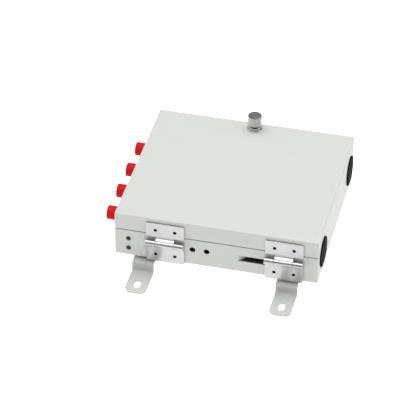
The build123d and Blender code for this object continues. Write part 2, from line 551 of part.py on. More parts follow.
def upright(z):
    """Plane on the thumbscrew's axis: sketch x runs up from height z, sketch y is radius."""
    return axial_plane((*SCREW_AT, z), (0, 0, 1), (1, 0, 0))


GROOVE_R, GROOVE_PLAY = 1.6, 0.1
RETAINER_TOP, RETAINER_LOW = -RETAINER_DROP, -RETAINER_DROP - RETAINER
TIP_BEVEL, DISH_RIM, DISH = 0.4, 0.9, 0.2   # screw tip, and the dished top of the head
KNURL_INSET = 1.0
with BuildPart() as thumbscrew:
    head_top = HEAD_LIFT + HEAD
    turned(upright(TOP), [
        (-SHANK_DROP, 0), (-SHANK_DROP, SHANK_R - TIP_BEVEL), (-SHANK_DROP + TIP_BEVEL, SHANK_R),
        (RETAINER_LOW - GROOVE_PLAY, SHANK_R), (RETAINER_LOW - GROOVE_PLAY, GROOVE_R),
        (RETAINER_TOP + GROOVE_PLAY, GROOVE_R), (RETAINER_TOP + GROOVE_PLAY, SHANK_R),
        (NECK_LIFT, SHANK_R), (NECK_LIFT, NECK_R), (HEAD_LIFT, NECK_R),
        (HEAD_LIFT, HEAD_R - HEAD_BEVEL), (HEAD_LIFT + HEAD_BEVEL, HEAD_R),
        (head_top - HEAD_BEVEL, HEAD_R), (head_top, HEAD_R - HEAD_BEVEL),
        (head_top, HEAD_R - DISH_RIM), (head_top - DISH, HEAD_R - DISH_RIM - DISH),
        (head_top - DISH, 0)])
    # straight knurl: shallow grooves round the head between its bevels
    with BuildSketch(level(TOP + HEAD_LIFT + KNURL_INSET)):
        with Locations(SCREW_AT):
            with PolarLocations(HEAD_R, KNURL_COUNT):
                Rectangle(2 * KNURL_DEPTH, 2 * KNURL_DEPTH, rotation=45)
    extrude(amount=HEAD - 2 * KNURL_INSET, mode=Mode.SUBTRACT)
save(thumbscrew, "thumbscrew")

SWAGE_R, SWAGE = 4.2, 0.7
BORE_R, COUNTERBORE_R, COUNTERBORE_FLOOR = 2.4, 4.7, 0.3
BASE_BEVEL, TOP_BEVEL = 0.5, 0.3
with BuildPart() as thumbscrew_ferrule:
    turned(upright(TOP), [
        (COUNTERBORE_FLOOR, BORE_R), (-SHEET - SWAGE, BORE_R), (-SHEET - SWAGE, SWAGE_R),
        (-SHEET, SWAGE_R), (-SHEET, FERRULE_SLEEVE_R), (0, FERRULE_SLEEVE_R), (0, FERRULE_BASE_R),
        (FERRULE_BASE - BASE_BEVEL, FERRULE_BASE_R), (FERRULE_BASE, FERRULE_BASE_R - BASE_BEVEL),
        (FERRULE_BASE, FERRULE_BODY_R), (FERRULE_TOP - TOP_BEVEL, FERRULE_BODY_R),
        (FERRULE_TOP, FERRULE_BODY_R - TOP_BEVEL), (FERRULE_TOP, COUNTERBORE_R),
        (COUNTERBORE_FLOOR, COUNTERBORE_R)])
save(thumbscrew_ferrule, "thumbscrew_ferrule")

RETAINER_R, RETAINER_MOUTH = 3.6, 2.6
with BuildPart() as thumbscrew_retainer:
    with BuildSketch(level(TOP + RETAINER_TOP - RETAINER)):
        with Locations(SCREW_AT):
            Circle(RETAINER_R)
            Circle(GROOVE_R + GROOVE_PLAY, mode=Mode.SUBTRACT)
            with Locations((0, -RETAINER_R)):
                Rectangle(RETAINER_MOUTH, 2 * RETAINER_R, mode=Mode.SUBTRACT)
    extrude(amount=RETAINER)
save(thumbscrew_retainer, "thumbscrew_retainer")

BRACKET_SHEET, BRACKET_WIDTH, BRACKET_LEG, BRACKET_REACH = 1.5, 24.0, 17.0, 22.0
BRACKET_TOP, BRACKET_BEND, BRACKET_CORNER = TOP - 7.2, 2.0, 3.0
INSIDE_BACK = BACK - SHEET
NUT_R, NUT_COLLAR_R, NUT_DEPTH, NUT_FIT = 4.2, 3.0, 2.7, 0.08
with BuildPart() as latch_bracket:
    with BuildSketch(Plane.YZ.offset(CENTRE_X - BRACKET_WIDTH / 2)):
        outline([(INSIDE_BACK, BRACKET_TOP - BRACKET_LEG), (INSIDE_BACK, BRACKET_TOP),
                 (INSIDE_BACK - BRACKET_REACH, BRACKET_TOP),
                 (INSIDE_BACK - BRACKET_REACH, BRACKET_TOP - BRACKET_SHEET),
                 (INSIDE_BACK - BRACKET_SHEET, BRACKET_TOP - BRACKET_SHEET),
                 (INSIDE_BACK - BRACKET_SHEET, BRACKET_TOP - BRACKET_LEG)])
    extrude(amount=BRACKET_WIDTH)
    fillet(latch_bracket.edges().filter_by(Axis.X).group_by(Axis.Z)[-1].sort_by(Axis.Y)[-1], BRACKET_BEND)
    fillet(latch_bracket.edges().filter_by(Axis.Z).group_by(Axis.Y)[0], BRACKET_CORNER)
    with BuildSketch(level(BRACKET_TOP)):
        circles([SCREW_AT], NUT_COLLAR_R)
    extrude(amount=-BRACKET_SHEET, mode=Mode.SUBTRACT)
save(latch_bracket, "latch_bracket")

with BuildPart() as latch_nut:
    turned(upright(BRACKET_TOP), [
        (0, SHANK_R + NUT_FIT), (0, NUT_COLLAR_R), (-BRACKET_SHEET, NUT_COLLAR_R),
        (-BRACKET_SHEET, NUT_R), (-BRACKET_SHEET - NUT_DEPTH, NUT_R),
        (-BRACKET_SHEET - NUT_DEPTH, SHANK_R + NUT_FIT)])
save(latch_nut, "latch_nut")

# ======================================================================================
# Splice tray, its cover, splice holder, studs and nuts
# ======================================================================================
TRAY_AT = (CENTRE_X + TRAY_X, TRAY_Y)
TRAY_FLOOR = FLOOR + TRAY_LIFT
TRAY_INSIDE = TRAY_FLOOR + TRAY_WALL
TRAY_RIM = TRAY_FLOOR + TRAY_HEIGHT
TRAY_STUDS = [(TRAY_AT[0] + side * TRAY_STUD_X, TRAY_AT[1]) for side in (-1, 1)]
SPOOLS = [(TRAY_AT[0] + side * SPOOL_X, TRAY_AT[1]) for side in (-1, 1)]
STUD_R, STUD_FIT, STUD_BASE_FLATS, STUD_TOP = 1.5, 0.2, 6.0, 5.0
TRAY_NUT_FLATS, TRAY_NUT = 5.5, 2.4
MOUTH, MOUTH_HEIGHT, MOUTH_INSET, GUIDE_HEIGHT = 9.0, 5.0, 22.0, 5.5
HOLDER_LENGTH, HOLDER_WIDTH, HOLDER_HEIGHT, HOLDER_FLOOR = 30.0, 40.0, 5.5, 1.2
CHANNELS, CHANNEL_PITCH, CHANNEL_WIDTH = 6, 6.0, 3.2

with BuildPart() as splice_tray:
    with BuildSketch(level(TRAY_FLOOR)):
        with Locations(TRAY_AT):
            RectangleRounded(TRAY_LENGTH, TRAY_WIDTH, TRAY_CORNER)
    extrude(amount=TRAY_HEIGHT)
    with BuildSketch(level(TRAY_INSIDE)):
        with Locations(TRAY_AT):
            RectangleRounded(TRAY_LENGTH - 2 * TRAY_WALL, TRAY_WIDTH - 2 * TRAY_WALL,
                             TRAY_CORNER - TRAY_WALL)
    extrude(amount=TRAY_HEIGHT, mode=Mode.SUBTRACT)
    # fibre mouths through the long walls, near the four corners
    with BuildSketch(level(TRAY_RIM - MOUTH_HEIGHT)):
        mouth_x = TRAY_LENGTH / 2 - MOUTH_INSET
        with Locations(*[(TRAY_AT[0] + side * mouth_x, TRAY_AT[1]) for side in (-1, 1)]):
            Rectangle(MOUTH, 2 * TRAY_WIDTH)
    extrude(amount=MOUTH_HEIGHT, mode=Mode.SUBTRACT)
    # winding guides: a half ring at each end of the splice holder
    with BuildSketch(level(TRAY_INSIDE)):
        for (x, y), side in zip(SPOOLS, (-1, 1)):
            with Locations((x, y)):
                Circle(SPOOL_R)
                Circle(SPOOL_R - TRAY_WALL, mode=Mode.SUBTRACT)
            with Locations((x - side * SPOOL_R, y)):
                Rectangle(2 * SPOOL_R, 3 * SPOOL_R, mode=Mode.SUBTRACT)
    extrude(amount=GUIDE_HEIGHT)
    with BuildSketch(level(TRAY_FLOOR)):
        circles(TRAY_STUDS, STUD_R + STUD_FIT)
    extrude(amount=TRAY_WALL, mode=Mode.SUBTRACT)
save(splice_tray, "splice_tray")

COVER, COVER_LIP, COVER_LIP_WALL, COVER_PLAY = 1.4, 2.0, 1.5, 0.3
with BuildPart() as splice_tray_cover:
    with BuildSketch(level(TRAY_RIM)):
        with Locations(TRAY_AT):
            RectangleRounded(TRAY_LENGTH, TRAY_WIDTH, TRAY_CORNER)
    extrude(amount=COVER)
    # lip that drops inside the tray's wall with a little play
    with BuildSketch(level(TRAY_RIM)):
        with Locations(TRAY_AT):
            outer = TRAY_WALL + COVER_PLAY
            inner = outer + COVER_LIP_WALL
            RectangleRounded(TRAY_LENGTH - 2 * outer, TRAY_WIDTH - 2 * outer, TRAY_CORNER - outer)
            RectangleRounded(TRAY_LENGTH - 2 * inner, TRAY_WIDTH - 2 * inner, TRAY_CORNER - inner,
                             mode=Mode.SUBTRACT)
    extrude(amount=-COVER_LIP)
save(splice_tray_cover, "splice_tray_cover")

with BuildPart() as splice_holder:
    with BuildSketch(level(TRAY_INSIDE)):
        with Locations(TRAY_AT):
            Rectangle(HOLDER_LENGTH, HOLDER_WIDTH)
    extrude(amount=HOLDER_HEIGHT)
    with BuildSketch(level(TRAY_INSIDE + HOLDER_FLOOR)):
        with Locations(TRAY_AT):
            with GridLocations(0, CHANNEL_PITCH, 1, CHANNELS):
                Rectangle(2 * HOLDER_LENGTH, CHANNEL_WIDTH)
    extrude(amount=HOLDER_HEIGHT, mode=Mode.SUBTRACT)
save(splice_holder, "splice_holder")

with BuildPart() as tray_studs:
    with BuildSketch(level(FLOOR)):
        with Locations(*TRAY_STUDS):
            RegularPolygon(STUD_BASE_FLATS / 2, 6, major_radius=False)
    extrude(amount=TRAY_LIFT)
    with BuildSketch(level(TRAY_FLOOR)):
        circles(TRAY_STUDS, STUD_R)
    extrude(amount=STUD_TOP)
save(tray_studs, "tray_studs")

with BuildPart() as tray_nuts:
    with BuildSketch(level(TRAY_INSIDE)):
        with Locations(*TRAY_STUDS):
            RegularPolygon(TRAY_NUT_FLATS / 2, 6, major_radius=False)
            Circle(STUD_R, mode=Mode.SUBTRACT)
    extrude(amount=TRAY_NUT)
save(tray_nuts, "tray_nuts")

# ======================================================================================
# Cable anchors, strength-member posts, earth stud and fibre clips
# ======================================================================================
ANCHOR_X, ANCHOR_SHEET, ANCHOR_WIDTH, ANCHOR_FOOT = RIGHT - 30.0, 1.5, 20.0, 16.0
ANCHOR_TOP = GROMMET_Z + 6.0
CRADLE_R = 6.5
ANCHOR_RIVET_X, ANCHOR_RIVET_SIDE = ANCHOR_X - 9.0, 6.0
ANCHOR_SLOT, ANCHOR_SLOT_LENGTH, ANCHOR_SLOT_PITCH, ANCHOR_SLOT_HEIGHT = 3.0, 6.0, 14.0, 9.0
for end_name, y in GROMMET_YS.items():
    with BuildPart() as anchor:
        with BuildSketch(level(FLOOR)):
            rectangle(ANCHOR_X - ANCHOR_FOOT, ANCHOR_X, y - ANCHOR_WIDTH / 2, y + ANCHOR_WIDTH / 2)
        extrude(amount=ANCHOR_SHEET)
        with BuildSketch(Plane.YZ.offset(ANCHOR_X - ANCHOR_SHEET)):
            rectangle(y - ANCHOR_WIDTH / 2, y + ANCHOR_WIDTH / 2, FLOOR, ANCHOR_TOP)
            # U-shaped cradle for the cable jacket, open at the top
            with Locations((y, GROMMET_Z)):
                Circle(CRADLE_R, mode=Mode.SUBTRACT)
            with Locations((y, GROMMET_Z + CRADLE_R)):
                Rectangle(2 * CRADLE_R, 2 * CRADLE_R, mode=Mode.SUBTRACT)
            # tie slots beside the cradle's foot
            with Locations((y, FLOOR + ANCHOR_SLOT_HEIGHT)):
                with GridLocations(ANCHOR_SLOT_PITCH, 0, 2, 1):
                    SlotOverall(ANCHOR_SLOT_LENGTH, ANCHOR_SLOT, rotation=90, mode=Mode.SUBTRACT)
        extrude(amount=ANCHOR_SHEET)
        with BuildSketch(level(FLOOR)):
            circles([(ANCHOR_RIVET_X, y - ANCHOR_RIVET_SIDE),
                     (ANCHOR_RIVET_X, y + ANCHOR_RIVET_SIDE)], RIVET_R)
        extrude(amount=ANCHOR_SHEET, mode=Mode.SUBTRACT)
    save(anchor, f"{end_name}_cable_anchor")

ANCHOR_RIVETS = [(ANCHOR_RIVET_X, y + side) for y in GROMMET_YS.values()
                 for side in (-ANCHOR_RIVET_SIDE, ANCHOR_RIVET_SIDE)]
with BuildPart() as anchor_rivets:
    with BuildSketch(level(FLOOR)):
        circles(ANCHOR_RIVETS, RIVET_R)
    extrude(amount=ANCHOR_SHEET)
    with BuildSketch(level(FLOOR + ANCHOR_SHEET)):
        circles(ANCHOR_RIVETS, RIVET_HEAD_R)
    extrude(amount=RIVET_HEAD, taper=RIVET_TAPER)
save(anchor_rivets, "anchor_rivets")

POST_X, POST_R, POST_HEIGHT, POST_HOLE_R = RIGHT - 62.0, 4.0, 12.0, 1.6
POSTS = [(POST_X, y) for y in GROMMET_YS.values()]
POST_HOLE_Z = FLOOR + 7.0
POST_SCREW_R, POST_SCREW_DEPTH, POST_HEAD_R, POST_HEAD, POST_HEAD_TAPER = 1.5, 3.0, 2.8, 2.0, 8.0
POST_SLOT, POST_SLOT_DEPTH = 0.8, 0.9
with BuildPart() as strength_member_posts:
    with BuildSketch(level(FLOOR)):
        circles(POSTS, POST_R)
    extrude(amount=POST_HEIGHT)
    with BuildSketch(Plane.YZ.offset(POST_X - POST_R)):
        circles([(y, POST_HOLE_Z) for _, y in POSTS], POST_HOLE_R)
    extrude(amount=2 * POST_R, mode=Mode.SUBTRACT)
    with BuildSketch(level(FLOOR + POST_HEIGHT)):
        circles(POSTS, POST_SCREW_R)
    extrude(amount=-POST_SCREW_DEPTH, mode=Mode.SUBTRACT)
save(strength_member_posts, "strength_member_posts")

with BuildPart() as strength_member_screws:
    with BuildSketch(level(FLOOR + POST_HEIGHT - POST_SCREW_DEPTH)):
        circles(POSTS, POST_SCREW_R)
    extrude(amount=POST_SCREW_DEPTH)
    with BuildSketch(level(FLOOR + POST_HEIGHT)):
        circles(POSTS, POST_HEAD_R)
    extrude(amount=POST_HEAD, taper=POST_HEAD_TAPER)
    with BuildSketch(level(FLOOR + POST_HEIGHT + POST_HEAD)):
        with Locations(*POSTS):
            Rectangle(3 * POST_HEAD_R, POST_SLOT)
    extrude(amount=-POST_SLOT_DEPTH, mode=Mode.SUBTRACT)
save(strength_member_screws, "strength_member_screws")

EARTH_AT = (RIGHT - 16.0, 0)
EARTH_R, EARTH_HEIGHT, EARTH_BEVEL = 2.5, 14.0, 0.6
EARTH_WASHER_R, EARTH_WASHER, EARTH_NUT_FLATS, EARTH_NUT = 5.0, 1.0, 8.0, 4.0
with BuildPart() as earth_stud:
    with BuildSketch(level(FLOOR)):
        circles([EARTH_AT], EARTH_R)
    extrude(amount=EARTH_HEIGHT)
    chamfer(earth_stud.edges().filter_by(GeomType.CIRCLE).sort_by(Axis.Z)[-1], EARTH_BEVEL)
save(earth_stud, "earth_stud")

with BuildPart() as earth_washer:
    with BuildSketch(level(FLOOR)):
        with Locations(EARTH_AT):
            Circle(EARTH_WASHER_R)
            Circle(EARTH_R, mode=Mode.SUBTRACT)
    extrude(amount=EARTH_WASHER)
save(earth_washer, "earth_washer")

with BuildPart() as earth_nut:
    with BuildSketch(level(FLOOR + EARTH_WASHER)):
        with Locations(EARTH_AT):
            RegularPolygon(EARTH_NUT_FLATS / 2, 6, major_radius=False)
            Circle(EARTH_R, mode=Mode.SUBTRACT)
    extrude(amount=EARTH_NUT)
save(earth_nut, "earth_nut")

CLIPS = [(CENTRE_X - 58.0, -44.0), (CENTRE_X - 58.0, 44.0),
         (CENTRE_X + 67.0, -36.0), (CENTRE_X + 67.0, 36.0)]
CLIP_BASE, CLIP_CORNER, CLIP_SHEET = 13.0, 2.0, 1.4
CLIP_R, CLIP_WALL, CLIP_WIDTH, CLIP_SUNK, CLIP_SLIT = 6.0, 1.3, 8.0, 0.3, 2.0
with BuildPart() as fibre_clips:
    with BuildSketch(level(FLOOR)):
        with Locations(*CLIPS):
            RectangleRounded(CLIP_BASE, CLIP_BASE, CLIP_CORNER)
    extrude(amount=CLIP_SHEET)
    for x, y in CLIPS:
        ring_z = FLOOR + CLIP_SHEET + CLIP_R - CLIP_SUNK
        with BuildSketch(Plane.XZ.offset(-y - CLIP_WIDTH / 2)):
            with Locations((x, ring_z)):
                Circle(CLIP_R)
                Circle(CLIP_R - CLIP_WALL, mode=Mode.SUBTRACT)
            with Locations((x + CLIP_R / 2, ring_z + CLIP_R)):
                Rectangle(CLIP_SLIT, CLIP_R, mode=Mode.SUBTRACT)
        extrude(amount=CLIP_WIDTH)
save(fibre_clips, "fibre_clips")
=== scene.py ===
"""Looks of the fibre termination box: camera, light, materials and the detailed pieces."""
import math

import bmesh
import bpy
from mathutils import Euler, Matrix, Vector


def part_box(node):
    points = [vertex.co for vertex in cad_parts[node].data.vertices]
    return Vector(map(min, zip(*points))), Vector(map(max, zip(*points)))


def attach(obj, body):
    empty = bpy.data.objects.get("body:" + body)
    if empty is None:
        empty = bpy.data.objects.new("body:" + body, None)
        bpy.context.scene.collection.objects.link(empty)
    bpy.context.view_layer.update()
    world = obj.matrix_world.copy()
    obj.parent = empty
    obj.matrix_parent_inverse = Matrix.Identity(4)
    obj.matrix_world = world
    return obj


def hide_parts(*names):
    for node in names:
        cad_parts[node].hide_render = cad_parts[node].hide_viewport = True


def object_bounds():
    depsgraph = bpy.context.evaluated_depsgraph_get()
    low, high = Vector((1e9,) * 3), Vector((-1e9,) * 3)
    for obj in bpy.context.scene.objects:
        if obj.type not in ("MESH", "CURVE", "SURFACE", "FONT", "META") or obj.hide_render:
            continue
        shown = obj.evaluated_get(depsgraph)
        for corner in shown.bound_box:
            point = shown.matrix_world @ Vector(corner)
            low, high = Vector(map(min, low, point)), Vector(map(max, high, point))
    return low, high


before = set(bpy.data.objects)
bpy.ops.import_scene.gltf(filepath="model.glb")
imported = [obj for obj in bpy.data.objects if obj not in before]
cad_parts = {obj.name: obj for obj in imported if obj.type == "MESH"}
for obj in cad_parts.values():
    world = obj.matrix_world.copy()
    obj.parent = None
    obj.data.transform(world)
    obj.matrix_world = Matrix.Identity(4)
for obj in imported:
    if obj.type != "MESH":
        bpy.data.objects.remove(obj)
cad_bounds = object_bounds()
MM = 0.001


def middle(node):
    """Centre of a CAD node's box."""
    low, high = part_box(node)
    return (low + high) / 2


# ======================================================================================
# Camera, floor and light
# ======================================================================================
CAMERA_AT = (0.42876, -1.90007, 1.51401)
CAMERA_TILT, CAMERA_TURN = 52.68, 13.56     # degrees from straight down, and about Z
CAMERA_ROLL = 0.15                          # about its own axis
LENS = 223.26                               # mm on a 36 mm sensor
CLIP = (0.05, 60.0)
FLOOR_SIZE = 12.0
FLOOR_GAP = 0.02 * MM                       # keeps the soles clear of the floor's face
FLOOR_GLOW, FLOOR_COLOUR = 1.34, 0.12       # a light-table floor, a little past white


def make_camera():
    data = bpy.data.cameras.new("camera")
    data.lens = LENS
    data.clip_start, data.clip_end = CLIP
    camera = bpy.data.objects.new("camera", data)
    camera.location = CAMERA_AT
    aim = Euler((math.radians(CAMERA_TILT), 0.0, math.radians(CAMERA_TURN))).to_matrix()
    roll = Matrix.Rotation(math.radians(CAMERA_ROLL), 3, "Z")
    camera.rotation_euler = (aim @ roll).to_euler()
    bpy.context.scene.collection.objects.link(camera)
    bpy.context.scene.camera = camera


def make_floor():
    mesh = bpy.data.meshes.new("floor")
    form = bmesh.new()
    bmesh.ops.create_grid(form, x_segments=4, y_segments=4, size=FLOOR_SIZE)
    form.to_mesh(mesh)
    form.free()
    floor = bpy.data.objects.new("floor", mesh)
    bpy.context.scene.collection.objects.link(floor)
    floor.location.z = -FLOOR_GAP
    material = bpy.data.materials.new("floor")
    material.use_nodes = True
    shader = material.node_tree.nodes["Principled BSDF"]
    shader.inputs["Base Color"].default_value = (FLOOR_COLOUR,) * 3 + (1.0,)
    shader.inputs["Roughness"].default_value = 1.0
    shader.inputs["Specular IOR Level"].default_value = 0.0
    shader.inputs["Emission Color"].default_value = (1.0, 1.0, 1.0, 1.0)
    shader.inputs["Emission Strength"].default_value = FLOOR_GLOW
    mesh.materials.append(material)


SOFTBOX_AT, SOFTBOX_SIZE, SOFTBOX_POWER = (2.2, 0.3, 1.2), 1.4, 12.4


def make_softbox():
    """Square area light on the right, aimed at the object's middle."""
    data = bpy.data.lights.new("side", "AREA")
    data.shape = "SQUARE"
    data.size = SOFTBOX_SIZE
    data.energy = SOFTBOX_POWER
    light = bpy.data.objects.new("side", data)
    light.location = SOFTBOX_AT
    aim = (cad_bounds[0] + cad_bounds[1]) / 2 - Vector(SOFTBOX_AT)
    light.rotation_mode = "QUATERNION"
    light.rotation_quaternion = aim.to_track_quat("-Z", "Y")
    bpy.context.scene.collection.objects.link(light)


# The studio round the object: direction of each bright patch, where its edge begins and ends
# as the cosine from that direction, and its brightness.
WORLD_PATCHES = (((0.0, -1.0, 0.27), 0.75, 0.97, 0.22), ((0.0, 0.0, 1.0), 0.5, 0.95, 0.88),
                 ((0.0, 0.0, 1.0), 0.82, 0.98, 2.05), ((0.0, 1.0, 2.4), 0.87, 0.98, 1.25),
                 ((-1.0, 0.0, 0.35), 0.5, 0.95, 0.95))


def make_world():
    """Dark surroundings with a soft bright patch in each of the directions above."""
    world = bpy.data.worlds.new("studio")
    bpy.context.scene.world = world
    world.use_nodes = True
    tree = world.node_tree
    where = tree.nodes.new("ShaderNodeTexCoord").outputs["Generated"]
    total = tree.nodes["Background"].inputs["Strength"]
    total.default_value = 0.0
    for direction, start, end, brightness in WORLD_PATCHES:
        towards = tree.nodes.new("ShaderNodeVectorMath")
        towards.operation = "DOT_PRODUCT"
        towards.inputs[1].default_value = Vector(direction).normalized()
        tree.links.new(where, towards.inputs[0])
        patch = tree.nodes.new("ShaderNodeMapRange")
        patch.interpolation_type = "SMOOTHSTEP"
        for name, value in (("From Min", start), ("From Max", end), ("To Max", brightness)):
            patch.inputs[name].default_value = value
        tree.links.new(towards.outputs["Value"], patch.inputs["Value"])
        add = tree.nodes.new("ShaderNodeMath")
        add.inputs[0].default_value = add.inputs[1].default_value = 0.0
        tree.links.new(patch.outputs["Result"], add.inputs[0])
        if total.links:
            tree.links.new(total.links[0].from_socket, add.inputs[1])
        tree.links.new(add.outputs[0], total)
    tree.nodes["Background"].inputs["Color"].default_value = (1.0, 1.0, 1.0, 1.0)


bpy.context.scene.view_settings.view_transform = "Standard"
make_camera()
make_floor()
make_world()
make_softbox()


# ======================================================================================
# Materials.  Textures are in the piece's own metres, so their scales are per metre.
# ======================================================================================
class Material:
    """A Principled material with a few short ways to add texture to it."""

    def __init__(self, name, colour, **values):
        self.material = bpy.data.materials.new(name)
        self.material.use_nodes = True
        self.tree = self.material.node_tree
        self.shader = self.tree.nodes["Principled BSDF"]
        self.colour = colour
        self.shader.inputs["Base Color"].default_value = (*colour, 1.0)
        for socket, value in values.items():
            self.shader.inputs[socket.replace("_", " ")].default_value = value

    def add(self, kind, **values):
        """New node, with sockets or properties set by name."""
        node = self.tree.nodes.new("ShaderNode" + kind)
        for name, value in values.items():
            socket = node.inputs.get(name.replace("_", " "))
            if socket is not None:
                socket.default_value = value
            else:
                setattr(node, name, value)
        return node

    def join(self, output, entry):
        self.tree.links.new(output, entry)

    def place(self, stretch=(1.0, 1.0, 1.0), origin=(0.0, 0.0, 0.0)):
        """Object coordinates about an origin, squeezed along each axis by stretch."""
        where = self.add("TexCoord")
        move = self.add("VectorMath", operation="SUBTRACT")
        move.inputs[1].default_value = origin
        scale = self.add("VectorMath", operation="MULTIPLY")
        scale.inputs[1].default_value = stretch
        self.join(where.outputs["Object"], move.inputs[0])
        self.join(move.outputs[0], scale.inputs[0])
        return scale.outputs[0]

    def noise(self, scale, detail=3.0, roughness=0.5, stretch=(1.0, 1.0, 1.0)):
        """Noise with features about 1/scale metres wide."""
        node = self.add("TexNoise", Scale=scale, Detail=detail, Roughness=roughness)
        self.join(self.place(stretch), node.inputs["Vector"])
        return node.outputs["Fac"]

    def rings(self, scale, origin, distortion=0.0):
        """Turning marks: rings about an upright axis through origin."""
        node = self.add("TexWave", wave_type="RINGS", rings_direction="Z", Scale=scale,
                        Distortion=distortion, Detail=2.0)
        node.inputs["Detail Scale"].default_value = 4.0
        self.join(self.place(origin=origin), node.inputs["Vector"])
        return node.outputs["Fac"]

    def between(self, factor, low, high, start=0.3, end=0.7):
        """Factor start..end mapped to low..high."""
        node = self.add("MapRange", From_Min=start, From_Max=end, To_Min=low, To_Max=high)
        self.join(factor, node.inputs["Value"])
        return node.outputs["Result"]

    def tint(self, factor, other, start=0.3, end=0.7):
        """Base colour drifts from the material's own to another one."""
        node = self.add("Mix", data_type="RGBA")
        own, far, mixed = node.inputs[6], node.inputs[7], node.outputs[2]   # its colours
        feed = self.shader.inputs["Base Color"].links
        if feed:
            self.join(feed[0].from_socket, own)
        else:
            own.default_value = (*self.colour, 1.0)
        far.default_value = (*other, 1.0)
        self.join(self.between(factor, 0.0, 1.0, start, end), node.inputs[0])
        self.join(mixed, self.shader.inputs["Base Color"])
        return self

    def within(self, radius, axis, at):
        """1 inside a radius about an axis through the point at, 0 outside it."""
        flat = tuple(0.0 if letter == axis else 1.0 for letter in "XYZ")
        reach = self.add("VectorMath", operation="LENGTH")
        self.join(self.place(flat, at), reach.inputs[0])
        inside = self.add("Math", operation="LESS_THAN")
        self.join(reach.outputs["Value"], inside.inputs[0])
        inside.inputs[1].default_value = radius
        return inside.outputs[0]

    def gloss(self, factor, low, high):
        """Roughness varies from low to high."""
        self.join(self.between(factor, low, high), self.shader.inputs["Roughness"])
        return self

    def bump(self, height, depth):
        """Relief of the given depth in metres, on top of any relief already there."""
        node = self.add("Bump", Distance=depth)
        self.join(height, node.inputs["Height"])
        feed = self.shader.inputs["Normal"].links
        if feed:
            self.join(feed[0].from_socket, node.inputs["Normal"])
        self.join(node.outputs["Normal"], self.shader.inputs["Normal"])
        return self


def dress(material, *nodes):
    """Gives CAD nodes a material."""
    for name in nodes:
        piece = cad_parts[name]
        for slot in piece.material_slots:
            slot.material = material.material


# shade scales the coat's colour; below 1 it is painted shade on a copy of the case's coat
def powder_coat(name="powder_coat", shade=1.0):
    coat = Material(name, (0.607 * shade, 0.627 * shade, 0.590 * shade), Roughness=0.45)
    coat.tint(coat.noise(28.0, 2.0), (0.615 * shade, 0.626 * shade, 0.600 * shade))
    coat.gloss(coat.noise(900.0), 0.40, 0.52)
    coat.bump(coat.noise(1100.0, 2.0), 0.03 * MM)
    return coat


ROLL_R, ROLL_ROUGHNESS = 3.5 * MM, 0.26     # the knuckles have one even roughness


def rolled_steel():
    steel = Material("hinge_steel", (0.515, 0.515, 0.517), Metallic=1.0, Anisotropic=0.85,
                     Anisotropic_Rotation=0.25)
    tangent = steel.add("Tangent", direction_type="RADIAL", axis="Z")
    steel.join(tangent.outputs[0], steel.shader.inputs["Tangent"])
    steel.tint(steel.noise(60.0, 3.0, stretch=(0.3, 1.0, 1.0)), (0.485, 0.485, 0.488))
    steel.gloss(steel.noise(700.0, 3.0, stretch=(0.05, 1.0, 1.0)), 0.20, 0.28)
    rough = steel.shader.inputs["Roughness"]
    blend = steel.add("Mix", data_type="FLOAT", B=ROLL_ROUGHNESS)
    steel.join(steel.within(ROLL_R, "X", middle("left_hinge_pin")), blend.inputs["Factor"])
    steel.join(rough.links[0].from_socket, blend.inputs["A"])
    steel.join(blend.outputs["Result"], rough)
    steel.bump(steel.noise(1500.0, 3.0, stretch=(0.04, 1.0, 1.0)), 0.008 * MM)
    return steel


def plated_steel(name="zinc_plate", colour=(0.60, 0.62, 0.65)):
    zinc = Material(name, colour, Metallic=1.0, Roughness=0.3)
    zinc.tint(zinc.noise(180.0, 4.0), tuple(0.86 * part for part in colour))
    zinc.gloss(zinc.noise(420.0, 4.0), 0.22, 0.38)
    zinc.bump(zinc.noise(900.0), 0.008 * MM)
    return zinc


def turned_nickel(name, axis_at, shade, dull=0.0):
    """Nickel turned about an upright axis; dull is added to its roughness."""
    nickel = Material(name, (shade, shade, 0.99 * shade), Metallic=1.0, Roughness=0.25)
    marks = nickel.rings(900.0, axis_at)
    nickel.tint(nickel.rings(260.0, axis_at, 1.5), (0.88 * shade,) * 3, 0.1, 0.9)
    nickel.gloss(marks, 0.16 + dull, 0.28 + dull)
    nickel.bump(marks, 0.004 * MM)
    return nickel


def black_oxide(name, shade, specular):
    black = Material(name, (shade,) * 3, Metallic=0.6, Roughness=0.4,
                     Specular_IOR_Level=specular)
    black.tint(black.noise(500.0), (2.2 * shade,) * 3)
    black.gloss(black.noise(900.0), 0.35, 0.5)
    black.bump(black.noise(1600.0), 0.01 * MM)
    return black


WAVE_RADIANS = 20.0                         # a band texture's radians per metre at scale 1


def threaded(material, axis, pitch, radius, at):
    """Adds a thread's relief along an axis, inside a radius about the point at."""
    bands = material.add("TexWave", wave_type="BANDS", bands_direction=axis,
                         Scale=2.0 * math.pi / (WAVE_RADIANS * pitch))
    material.join(material.place(), bands.inputs["Vector"])
    relief = material.add("Math", operation="MULTIPLY")
    material.join(bands.outputs["Fac"], relief.inputs[0])
    material.join(material.within(radius, axis, at), relief.inputs[1])
    return material.bump(relief.outputs[0], 0.5 * pitch)


def aluminium():
    metal = Material("rivet_aluminium", (0.78, 0.79, 0.80), Metallic=1.0, Roughness=0.35)
    metal.gloss(metal.noise(900.0), 0.28, 0.42)
    metal.bump(metal.noise(1400.0), 0.01 * MM)
    return metal


def moulded(name, colour, other, roughness, grain=0.01, specular=0.5):
    """Moulded plastic with a fine spark-eroded grain."""
    plastic = Material(name, colour, Roughness=roughness, Specular_IOR_Level=specular)
    plastic.tint(plastic.noise(90.0), other)
    plastic.gloss(plastic.noise(600.0), roughness - 0.06, roughness + 0.08)
    plastic.bump(plastic.noise(1800.0), grain * MM)
    return plastic


